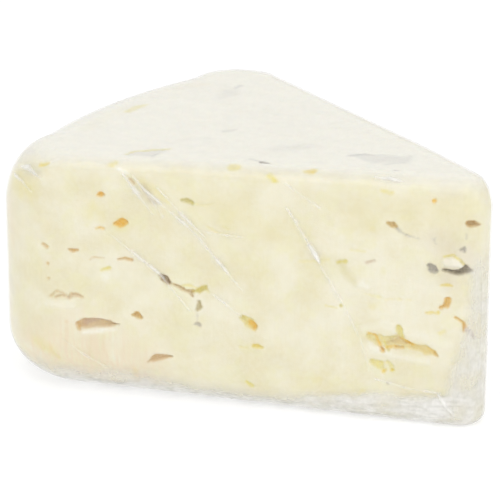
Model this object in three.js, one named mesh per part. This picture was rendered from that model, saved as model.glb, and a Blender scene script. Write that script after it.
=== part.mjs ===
// A wedge of soft blue-veined cheese, cut from a half-height wheel and wrapped tight in clear stretch film.
// Millimetres, +Z up. The wedge lies on its base. Its tip points to +X and the wheel's curved rim to -X.
// The origin is at the centre of the wrapped wedge's base.
//
// The cheese is one solid. The film is a second one: a thin skin over the top and sides, folded under the
// base all round, with a bare patch left in the middle of the base.
import * as THREE from 'three';

// The wedge as wrapped, measured over the film
const wheelRadius = 140;
const wedgeAngle = THREE.MathUtils.degToRad(48.8);
const height = 67;

// Upright edges, seen in plan
const tipRadius = 7;
const backCornerRadius = 20.5;
const frontCornerRadius = 20;

// Roundings of the top and bottom edges: how far each reaches in from the side, and how far along the side
const cutEdge = { top: { reach: 5.8, drop: 4.3 }, bottom: { reach: 14, drop: 17 } };
const rimEdge = { top: { reach: 17.5, drop: 24 }, bottom: { reach: 18.5, drop: 14 } };
const tipEdge = { top: { reach: 5.8, drop: 9.4 }, bottom: { reach: 2.5, drop: 3 } };
const tipTopFade = 28; // the tip's top rounding has turned into the cut edge's this far along each cut face

// Film
const filmThickness = 0.3;
const filmGap = 0.3;
const bareShare = 0.35; // the bare patch of the base, as a share of the wedge's own outline

const roundingSteps = 5;
const halfAngle = wedgeAngle / 2;

const arcBetween = (centre, radius, start, end) =>
  new THREE.EllipseCurve(centre.x, centre.y, radius, radius, start, end, false, 0);

// Centre of the arc that rounds the corner between the rim and the cut face on one side, 1 for +Y, -1 for -Y.
// Here the wheel's centre is at 0, 0 and the rim is on -X.
function cornerCentre(radius, side) {
  const inward = new THREE.Vector2(-Math.sin(halfAngle), -side * Math.cos(halfAngle));
  const along = new THREE.Vector2(-Math.cos(halfAngle), side * Math.sin(halfAngle));
  const distanceAlong = Math.sqrt((wheelRadius - radius) ** 2 - radius ** 2);
  return along.multiplyScalar(distanceAlong).addScaledVector(inward, radius);
}

// The plan outline, anticlockwise from the tip, as curves with the share of rim edge and tip edge along each
function outlineCurves() {
  const faceNormal = Math.PI / 2 - halfAngle; // direction that the cut face on +Y looks in
  const tipCentre = new THREE.Vector2(-tipRadius / Math.sin(halfAngle), 0);
  const backCentre = cornerCentre(backCornerRadius, 1);
  const frontCentre = cornerCentre(frontCornerRadius, -1);
  const rimStart = backCentre.angle();
  const rimEnd = frontCentre.angle();

  const tip = arcBetween(tipCentre, tipRadius, -faceNormal, faceNormal);
  const backCorner = arcBetween(backCentre, backCornerRadius, faceNormal, rimStart);
  const rim = arcBetween(new THREE.Vector2(), wheelRadius, rimStart, rimEnd);
  const frontCorner = arcBetween(frontCentre, frontCornerRadius, rimEnd, 2 * Math.PI - faceNormal);
  const backFace = new THREE.LineCurve(tip.getPoint(1), backCorner.getPoint(0));
  const frontFace = new THREE.LineCurve(frontCorner.getPoint(1), tip.getPoint(0));

  // Above, the tip's rounding soon gives way to the cut edge's. Below, it grows all the way to the rim.
  const tipShare = (share, face) => ({
    top: Math.max(0, 1 - (share * face.getLength()) / tipTopFade) ** 2,
    bottom: 1 - share,
  });
  const noTip = () => ({ top: 0, bottom: 0 });

  return [
    { curve: tip, steps: 8, rim: () => 0, tip: () => ({ top: 1, bottom: 1 }) },
    { curve: backFace, steps: 8, rim: () => 0, tip: (t) => tipShare(t, backFace) },
    { curve: backCorner, steps: 6, rim: (t) => t, tip: noTip },
    { curve: rim, steps: 12, rim: () => 1, tip: noTip },
    { curve: frontCorner, steps: 6, rim: (t) => 1 - t, tip: noTip },
    { curve: frontFace, steps: 8, rim: () => 0, tip: (t) => tipShare(1 - t, frontFace) },
  ];
}

// One stop of the outline: its point, its outward normal, and the roundings above and below it
function outlineStop({ curve, rim, tip }, t) {
  const tangent = curve.getTangent(t);
  const rounding = (level, size) => {
    const { lerp } = THREE.MathUtils;
    const awayFromTip = lerp(cutEdge[level][size], rimEdge[level][size], rim(t));
    return lerp(awayFromTip, tipEdge[level][size], tip(t)[level]);
  };
  return {
    point: curve.getPoint(t),
    normal: new THREE.Vector2(tangent.y, -tangent.x),
    top: { reach: rounding('top', 'reach'), drop: rounding('top', 'drop') },
    bottom: { reach: rounding('bottom', 'reach'), drop: rounding('bottom', 'drop') },
  };
}

function outlineStops() {
  const stops = [];
  for (const part of outlineCurves()) {
    for (let i = 0; i < part.steps; i += 1) stops.push(outlineStop(part, i / part.steps));
  }
  const box = new THREE.Box2().setFromPoints(stops.map((stop) => stop.point));
  const centre = box.getCenter(new THREE.Vector2());
  for (const stop of stops) stop.point.sub(centre);
  return stops;
}

// A ring of points round the wedge, on the surface that lies `depth` inside the wrapped wedge.
// `turn` is 0 where a rounding leaves the side, and a quarter turn where it meets the top or the base.
function ring(stops, depth, level, turn) {
  return stops.map((stop) => {
    const reach = stop[level].reach - depth;
    const drop = stop[level].drop - depth;
    const inset = depth + reach * (1 - Math.cos(turn));
    const rise = depth + drop * (1 - Math.sin(turn));
    const { x, y } = stop.point.clone().addScaledVector(stop.normal, -inset);
    return new THREE.Vector3(x, y, level === 'top' ? height - rise : rise);
  });
}

// All rings from the flat base to the flat top
function ringsAt(stops, depth) {
  const turns = Array.from({ length: roundingSteps + 1 }, (_, i) => (i / roundingSteps) * (Math.PI / 2));
  const lower = turns.map((turn) => ring(stops, depth, 'bottom', turn)).reverse();
  const upper = turns.map((turn) => ring(stops, depth, 'top', turn));
  return [...lower, ...upper];
}

const middleOf = (points) => new THREE.Box3().setFromPoints(points).getCenter(new THREE.Vector3());

// Joins rings that run anticlockwise and rise, each to the next, with faces that look outwards
function skinBetween(rings) {
  const triangles = [];
  for (let level = 0; level + 1 < rings.length; level += 1) {
    const low = rings[level];
    const high = rings[level + 1];
    for (let i = 0; i < low.length; i += 1) {
      const next = (i + 1) % low.length;
      triangles.push([low[i], low[next], high[next]], [low[i], high[next], high[i]]);
    }
  }
  return triangles;
}

// A flat cap that looks up
function capOver(points) {
  const middle = middleOf(points);
  return points.map((point, i) => [point, points[(i + 1) % points.length], middle]);
}

const turnedOver = (triangles) => triangles.map(([a, b, c]) => [a, c, b]);

function geometryOf(triangles) {
  const positions = triangles.flat().flatMap((point) => point.toArray());
  const geometry = new THREE.BufferGeometry();
  geometry.setAttribute('position', new THREE.Float32BufferAttribute(positions, 3));
  geometry.computeVertexNormals();
  return geometry;
}

function cheeseGeometry(stops) {
  const rings = ringsAt(stops, filmThickness + filmGap);
  return geometryOf([
    ...skinBetween(rings),
    ...capOver(rings.at(-1)),
    ...turnedOver(capOver(rings[0])),
  ]);
}

// The film's two skins share the bare patch's edge, so the solid is open to the outside there
function filmGeometry(stops) {
  const skinAt = (depth) => {
    const rings = ringsAt(stops, depth);
    const middle = middleOf(rings[0]);
    const hem = stops.map(({ point: { x, y } }) =>
      middle.clone().lerp(new THREE.Vector3(x, y, depth), bareShare));
    return [hem, ...rings];
  };
  const outer = skinAt(0);
  const inner = skinAt(filmThickness);
  return geometryOf([
    ...skinBetween(outer),
    ...capOver(outer.at(-1)),
    ...turnedOver([...skinBetween(inner), ...capOver(inner.at(-1))]),
    ...skinBetween([inner[0], outer[0]]),
  ]);
}

const cheesePaste = new THREE.MeshStandardMaterial({ color: 0xf1ebc4, roughness: 0.45, metalness: 0 });
const clearFilm = new THREE.MeshStandardMaterial({
  color: 0xf7f7f4,
  roughness: 0.12,
  metalness: 0,
  transparent: true,
  opacity: 0.25,
});

const stops = outlineStops();
const cheese = new THREE.Mesh(cheeseGeometry(stops), cheesePaste);
cheese.name = 'cheese';
const film = new THREE.Mesh(filmGeometry(stops), clearFilm);
film.name = 'film_wrap';

const wedge = new THREE.Group();
wedge.add(cheese, film);

export default wedge;
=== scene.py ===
import math
import bpy
import bmesh
import numpy as np
from mathutils import Matrix, Vector
from mathutils.geometry import delaunay_2d_cdt


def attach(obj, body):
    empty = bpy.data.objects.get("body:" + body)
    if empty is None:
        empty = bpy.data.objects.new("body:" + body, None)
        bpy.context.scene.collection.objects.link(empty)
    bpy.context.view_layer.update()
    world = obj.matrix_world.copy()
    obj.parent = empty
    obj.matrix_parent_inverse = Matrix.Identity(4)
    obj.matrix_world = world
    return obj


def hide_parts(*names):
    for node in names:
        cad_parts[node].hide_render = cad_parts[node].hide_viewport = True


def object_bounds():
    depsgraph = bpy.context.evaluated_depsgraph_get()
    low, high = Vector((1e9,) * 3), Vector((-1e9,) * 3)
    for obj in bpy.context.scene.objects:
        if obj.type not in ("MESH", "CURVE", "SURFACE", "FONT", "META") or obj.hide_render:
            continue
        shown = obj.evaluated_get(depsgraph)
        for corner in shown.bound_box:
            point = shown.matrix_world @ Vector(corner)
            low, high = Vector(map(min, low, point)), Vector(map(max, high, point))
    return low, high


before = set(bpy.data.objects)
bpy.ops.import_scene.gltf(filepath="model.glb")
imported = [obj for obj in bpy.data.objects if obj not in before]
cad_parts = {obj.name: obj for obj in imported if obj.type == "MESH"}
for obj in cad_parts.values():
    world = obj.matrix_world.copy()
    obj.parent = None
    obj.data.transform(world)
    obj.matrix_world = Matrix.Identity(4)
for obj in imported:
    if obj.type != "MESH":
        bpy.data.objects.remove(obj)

cadBox = [list(corner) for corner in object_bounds()]
mm = 0.001

view = {
    "azimuth": 34.95,      # degrees, 0 looks along +Y
    "elevation": 20.3,
    "distance": 674.8,     # mm
    "lens": 182.4,
    "aimRight": -6.4,      # mm from the wedge's middle, as the camera sees it
    "aimUp": 0.35,
    "roll": 0.22,
}


def placeCamera():
    azimuth, elevation = math.radians(view["azimuth"]), math.radians(view["elevation"])
    back = Vector((math.sin(azimuth) * math.cos(elevation), -math.cos(azimuth) * math.cos(elevation),
                   math.sin(elevation)))
    right = Vector((math.cos(azimuth), math.sin(azimuth), 0))
    up = back.cross(right)
    middle = (Vector(cadBox[0]) + Vector(cadBox[1])) / 2
    aim = middle + (right * view["aimRight"] + up * view["aimUp"]) * mm
    data = bpy.data.cameras.new("camera")
    data.lens = view["lens"]
    data.clip_end = 20
    camera = bpy.data.objects.new("camera", data)
    turn = Matrix((right, up, back)).transposed() @ Matrix.Rotation(math.radians(view["roll"]), 3, "Z")
    camera.matrix_world = Matrix.Translation(aim + back * view["distance"] * mm) @ turn.to_4x4()
    bpy.context.scene.collection.objects.link(camera)
    bpy.context.scene.camera = camera


placeCamera()
print("camera placed")

wedge = {    # the shape that cheese and film share, in mm and degrees
    "wheelRadius": 140, "angle": 48.8, "height": 67,
    "tipRadius": 7, "backCornerRadius": 20.5, "frontCornerRadius": 20,
    "cutTop": (5.8, 4.3), "cutBase": (14, 17),      # how far a rounding reaches in, and along the side
    "rimTop": (17.5, 24), "rimBase": (18.5, 14),
    "tipTop": (5.8, 9.4), "tipBase": (2.5, 3),
    "tipTopFade": 28,
}
halfAngle = math.radians(wedge["angle"] / 2)


def cornerCentre(radius, side):
    away = np.array([-math.cos(halfAngle), side * math.sin(halfAngle)])
    inward = np.array([-math.sin(halfAngle), -side * math.cos(halfAngle)])
    return away * math.sqrt((wedge["wheelRadius"] - radius) ** 2 - radius ** 2) + inward * radius


def outlineParts():  # clockwise from where the tip meets the front cut face
    square = math.pi / 2 - halfAngle
    tipRadius, wheelRadius = wedge["tipRadius"], wedge["wheelRadius"]
    backRadius, frontRadius = wedge["backCornerRadius"], wedge["frontCornerRadius"]
    tipCentre = np.array([-tipRadius / math.sin(halfAngle), 0.0])
    front, back = cornerCentre(frontRadius, -1), cornerCentre(backRadius, 1)
    frontTurn = math.atan2(front[1], front[0])
    backTurn = math.atan2(back[1], back[0]) - 2 * math.pi
    facing = {side: np.array([math.cos(square), side * math.sin(square)]) for side in (-1, 1)}
    straight = np.linalg.norm(front + frontRadius * facing[-1] - tipCentre - tipRadius * facing[-1])
    straightBack = np.linalg.norm(back + backRadius * facing[1] - tipCentre - tipRadius * facing[1])
    return [
        ("front", straight, tipCentre + tipRadius * facing[-1], front + frontRadius * facing[-1]),
        ("frontCorner", frontRadius * (-square - frontTurn), front, (frontRadius, -square, frontTurn)),
        ("rim", wheelRadius * (frontTurn - backTurn), np.zeros(2), (wheelRadius, frontTurn, backTurn)),
        ("backCorner", backRadius * (backTurn + 2 * math.pi - square), back,
         (backRadius, backTurn, square - 2 * math.pi)),
        ("back", straightBack, back + backRadius * facing[1], tipCentre + tipRadius * facing[1]),
        ("tip", tipRadius * 2 * square, tipCentre, (tipRadius, square, -square)),
    ]


outline = outlineParts()
starts = dict(zip([part[0] for part in outline], np.cumsum([0] + [part[1] for part in outline])))
girth = sum(part[1] for part in outline)
planCentre = np.array([
    (outline[5][2][0] + wedge["tipRadius"] - wedge["wheelRadius"]) / 2,
    (outline[3][2][1] + wedge["backCornerRadius"] + outline[1][2][1] - wedge["frontCornerRadius"]) / 2,
])


def outlineAt(along):  # place, outward direction, and shares of rim and tip, at a distance round the wedge
    along = np.mod(along, girth)
    place, facing = np.zeros((len(along), 2)), np.zeros((len(along), 2))
    rim, tipTop, tipBase = (np.zeros(len(along)) for _ in range(3))
    for name, length, a, b in outline:
        here = (along >= starts[name]) & (along < starts[name] + length + 1e-9)
        share = (along[here] - starts[name]) / length
        if name in ("front", "back"):
            side = -1 if name == "front" else 1
            place[here] = a + (b - a) * share[:, None]
            facing[here] = (math.sin(halfAngle), side * math.cos(halfAngle))
            fromTip = share if name == "front" else 1 - share
            tipTop[here] = np.maximum(0, 1 - fromTip * length / wedge["tipTopFade"]) ** 2
            tipBase[here] = 1 - fromTip
            continue
        radius, start, end = b
        turn = start + (end - start) * share
        facing[here] = np.column_stack([np.cos(turn), np.sin(turn)])
        place[here] = a + radius * facing[here]
        rim[here] = {"frontCorner": share, "rim": 1, "backCorner": 1 - share, "tip": 0}[name]
        tipTop[here] = tipBase[here] = name == "tip"
    return place - planCentre, facing, rim, tipTop, tipBase


def roundings(rim, tip, level):
    cut, atRim, atTip = (np.array(wedge[k + level], float) for k in ("cut", "rim", "tip"))
    sizes = cut + (atRim - cut) * rim[:, None]
    return sizes + (atTip - sizes) * tip[:, None]


# step runs 0 to 1 up the base rounding, to 2 up the side and to 3 over the top rounding
def skinAt(along, step, depth):
    plan, facing, rim, tipTop, tipBase = outlineAt(along)
    top, base = roundings(rim, tipTop, "Top") - depth, roundings(rim, tipBase, "Base") - depth
    turn = np.where(step < 1, 1 - step, np.maximum(step - 2, 0)) * math.pi / 2
    reach = np.where(step < 1, base[:, 0], top[:, 0])
    drop = np.where(step < 1, base[:, 1], top[:, 1])
    inset = depth + reach * (1 - np.cos(turn))
    low, high = depth + base[:, 1], wedge["height"] - depth - top[:, 1]
    rise = np.where(step < 1, depth + drop * (1 - np.sin(turn)),
                    np.where(step > 2, wedge["height"] - depth - drop * (1 - np.sin(turn)),
                             low + (high - low) * (step - 1)))
    flat = plan - facing * inset[:, None]
    outward = np.cos(turn) / reach
    upward = np.sin(turn) / drop * np.where(step < 1, -1, 1)
    size = np.hypot(outward, upward)
    normal = np.column_stack([facing * (outward / size)[:, None], upward / size])
    return np.column_stack([flat, rise]), normal


def skinLengths(along):  # mm of skin up the base rounding, the side and the top rounding
    _, _, rim, tipTop, tipBase = outlineAt(along)
    top, base = roundings(rim, tipTop, "Top"), roundings(rim, tipBase, "Base")
    quarter = lambda sizes: math.pi / 2 * np.sqrt((sizes ** 2).mean(axis=1))
    return quarter(base), wedge["height"] - base[:, 1] - top[:, 1], quarter(top)


def stepOf(along, up):
    base, side, top = skinLengths(along)
    return np.where(up < base, up / base, np.where(up < base + side, 1 + (up - base) / side,
                                                   np.minimum(3, 2 + (up - base - side) / top)))


def upOf(along, height):  # mm up the skin at a height above the board
    _, _, rim, tipTop, tipBase = outlineAt(along)
    drop, topDrop = roundings(rim, tipBase, "Base")[:, 1], roundings(rim, tipTop, "Top")[:, 1]
    base, side, top = skinLengths(along)
    low = np.arcsin(np.clip(1 - height / drop, 0, 1)) / (math.pi / 2)
    high = np.arcsin(np.clip(1 - (wedge["height"] - height) / topDrop, 0, 1)) / (math.pi / 2)
    return np.where(height < drop, base * (1 - low), base + np.minimum(side, height - drop) + top * high)


def grain(points, size, seed):  # smooth noise from -1 to 1
    p = points / size + seed * 7.31
    cell = np.floor(p).astype(np.int64)
    f = p - cell
    f = f * f * (3 - 2 * f)
    total = np.zeros(len(points))
    for corner in np.ndindex(2, 2, 2):
        i, j, k = (cell + corner).T
        mixed = (i * 374761393 + j * 668265263 + k * 1442695041 + seed * 974634777) & 0xFFFFFFFF
        mixed = ((mixed ^ (mixed >> 13)) * 1274126177) & 0xFFFFFFFF
        value = ((mixed ^ (mixed >> 16)) & 0xFFFF) / 32767.5 - 1
        total += value * np.prod(np.where(corner, f, 1 - f), axis=1)
    return total


def clouds(points, size, seed, layers=3):
    total = sum(grain(points, size / 2 ** n, seed + n) / 2 ** n for n in range(layers))
    return total / (2 - 2 ** (1 - layers))


def smooth(low, high, value):
    t = np.clip((value - low) / (high - low), 0, 1)
    return t * t * (3 - 2 * t)


def alongPath(points, path):  # distance to a path of (u, v, width), share along it, and its width there
    path = np.array(path, float).reshape(-1, 3)
    count = len(points)
    if len(path) == 1:
        distance = np.linalg.norm(points - path[0, :2], axis=1)
        return distance, np.full(count, 0.5), np.full(count, path[0, 2])
    lengths = np.linalg.norm(np.diff(path[:, :2], axis=0), axis=1)
    best, share, breadth, before = np.full(count, 1e9), np.zeros(count), np.zeros(count), 0.0
    for a, b, length in zip(path[:-1], path[1:], lengths):
        t = np.clip((points - a[:2]) @ (b - a)[:2] / length ** 2, 0, 1)
        width = a[2] + (b[2] - a[2]) * t
        distance = np.linalg.norm(points - a[:2] - t[:, None] * (b - a)[:2], axis=1)
        nearer = distance - width / 2 < best - breadth / 2
        best, breadth = np.where(nearer, distance, best), np.where(nearer, width, breadth)
        share = np.where(nearer, (before + t * length) / lengths.sum(), share)
        before += length
    return best, share, breadth


def hexGrid(low, high, spacing, random):
    rows = np.arange(low[1], high[1], spacing * 0.866)
    columns = np.arange(low[0], high[0], spacing)
    x, y = np.meshgrid(columns, rows)
    x = x + (np.arange(len(rows)) % 2)[:, None] * spacing / 2
    points = np.column_stack([x.ravel(), y.ravel()])
    return points + random.uniform(-0.12, 0.12, points.shape) * spacing


def gradedPoints(low, high, inside, detail, sizes, seed):  # fine near detail, coarse away from it
    random = np.random.default_rng(seed)
    kept, finer = [], -math.inf
    for level, spacing in enumerate(sizes):
        points = hexGrid(low, high, spacing, random)
        points = points[inside(points, spacing * 0.45)]
        away = detail(points)
        coarser = math.inf if level == len(sizes) - 1 else spacing * 3.2
        kept.append(points[(away >= finer) & (away < coarser)])
        finer = coarser
    return np.concatenate(kept)


def triangulate(loops, loose):
    edges, first = [], 0
    for loop in loops:
        edges += [(first + i, first + (i + 1) % len(loop)) for i in range(len(loop))]
        first += len(loop)
    found = delaunay_2d_cdt([Vector(p) for p in np.concatenate([*loops, loose])], edges, [], 1, 1e-7)
    return np.array([tuple(p) for p in found[0]]), np.array(found[2])


seam = starts["rim"] + outline[2][1] * 0.5  # the skin opens at the middle of the rim, away from the marks


def sidePatch(detail, sizes, edge, seed):
    count = round(girth / edge)
    along = seam + np.arange(count + 1) / count * girth
    heights = sum(skinLengths(along))
    ends = np.linspace(0, 1, round(heights[0] / sizes[-1]))[1:-1]
    border = np.concatenate([
        np.column_stack([along, np.zeros(len(along))]),
        np.column_stack([np.full(len(ends), along[-1]), ends * heights[0]]),
        np.column_stack([along, heights])[::-1],
        np.column_stack([np.full(len(ends), along[0]), ends * heights[0]])[::-1],
    ])

    def inside(points, margin):
        top = sum(skinLengths(points[:, 0]))
        return ((points[:, 0] > along[0] + margin) & (points[:, 0] < along[-1] - margin)
                & (points[:, 1] > margin) & (points[:, 1] < top - margin))
    loose = gradedPoints((along[0], 0), (along[-1], heights.max()), inside, detail, sizes, seed)
    return triangulate([border], loose), along


def depthIn(points, loop):  # how far inside a closed outline, below 0 outside it
    inside, nearest = np.zeros(len(points), bool), np.full(len(points), 1e9)
    for p, q in zip(loop, np.roll(loop, -1, axis=0)):
        crosses = (p[1] > points[:, 1]) != (q[1] > points[:, 1])
        with np.errstate(divide="ignore", invalid="ignore"):
            x = (q[0] - p[0]) * (points[:, 1] - p[1]) / (q[1] - p[1]) + p[0]
        inside ^= crosses & (points[:, 0] < x)
        t = np.clip((points - p) @ (q - p) / max((q - p) @ (q - p), 1e-12), 0, 1)
        nearest = np.minimum(nearest, np.linalg.norm(points - p - t[:, None] * (q - p), axis=1))
    return np.where(inside, nearest, -nearest)


def capPatch(loop, detail, sizes, seed, hole=0):  # hole: the share of the outline that stays open
    middle = loop.mean(axis=0)
    opening = middle + (loop[::3] - middle) * hole

    def inside(points, margin):
        kept = depthIn(points, loop) > margin
        return kept & (depthIn(points, opening) < -margin) if hole else kept
    loose = gradedPoints(loop.min(axis=0), loop.max(axis=0), inside, detail, sizes, seed)
    flat, faces = triangulate([loop, opening] if hole else [loop], loose)
    if hole:
        faces = faces[depthIn(flat[faces].mean(axis=1), opening) < 0]
    return flat, faces


def meshFrom(name, patches, attributes):
    points = np.concatenate([p["points"] for p in patches]) * mm
    faces, offset = [], 0
    for p in patches:
        faces.append(p["faces"] + offset)
        offset += len(p["points"])
    data = bpy.data.meshes.new(name)
    data.from_pydata(points.tolist(), [], np.concatenate(faces).tolist())
    for key in attributes:
        values = np.concatenate([p[key] for p in patches]).astype(np.float32)
        data.attributes.new(key, "FLOAT", "POINT").data.foreach_set("value", values)
    work = bmesh.new()
    work.from_mesh(data)
    bmesh.ops.remove_doubles(work, verts=[v for v in work.verts if v.is_boundary], dist=2e-6)
    bmesh.ops.recalc_face_normals(work, faces=work.faces)
    work.to_mesh(data)
    work.free()
    data.shade_smooth()
    piece = bpy.data.objects.new(name, data)
    bpy.context.scene.collection.objects.link(piece)
    return piece


cheese = {
    "depth": 0.6,              # mm under the film's outside
    "cells": (0.36, 0.8, 1.6),
    "shift": 0.35,             # mm that the marks move from the tip, and a little down
    "ragged": 0.18,            # how rough a mark's outline is, unless it says
    "soft": 0.1,               # how far its tint fades out, unless it says
    "shallow": 0.15,           # a mark less deep than this is only a stain
    "litTopSteps": (2.35, 2.95),  # steps between which the paste is painted paler, standing in for light from above
    "swell": (0.07, 0.04),     # mm of broad and fine unevenness
    "edge": 1.2,               # mm between points round the wedge
    "capCells": 2.2,           # mm, underneath
    "hiddenHoles": 18,
    "hiddenStains": 10,
}


def mark(*path, **rest):  # path in mm: (from the tip, above the board, width), or (x, y, width) on top
    return {"path": path, **rest}


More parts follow.
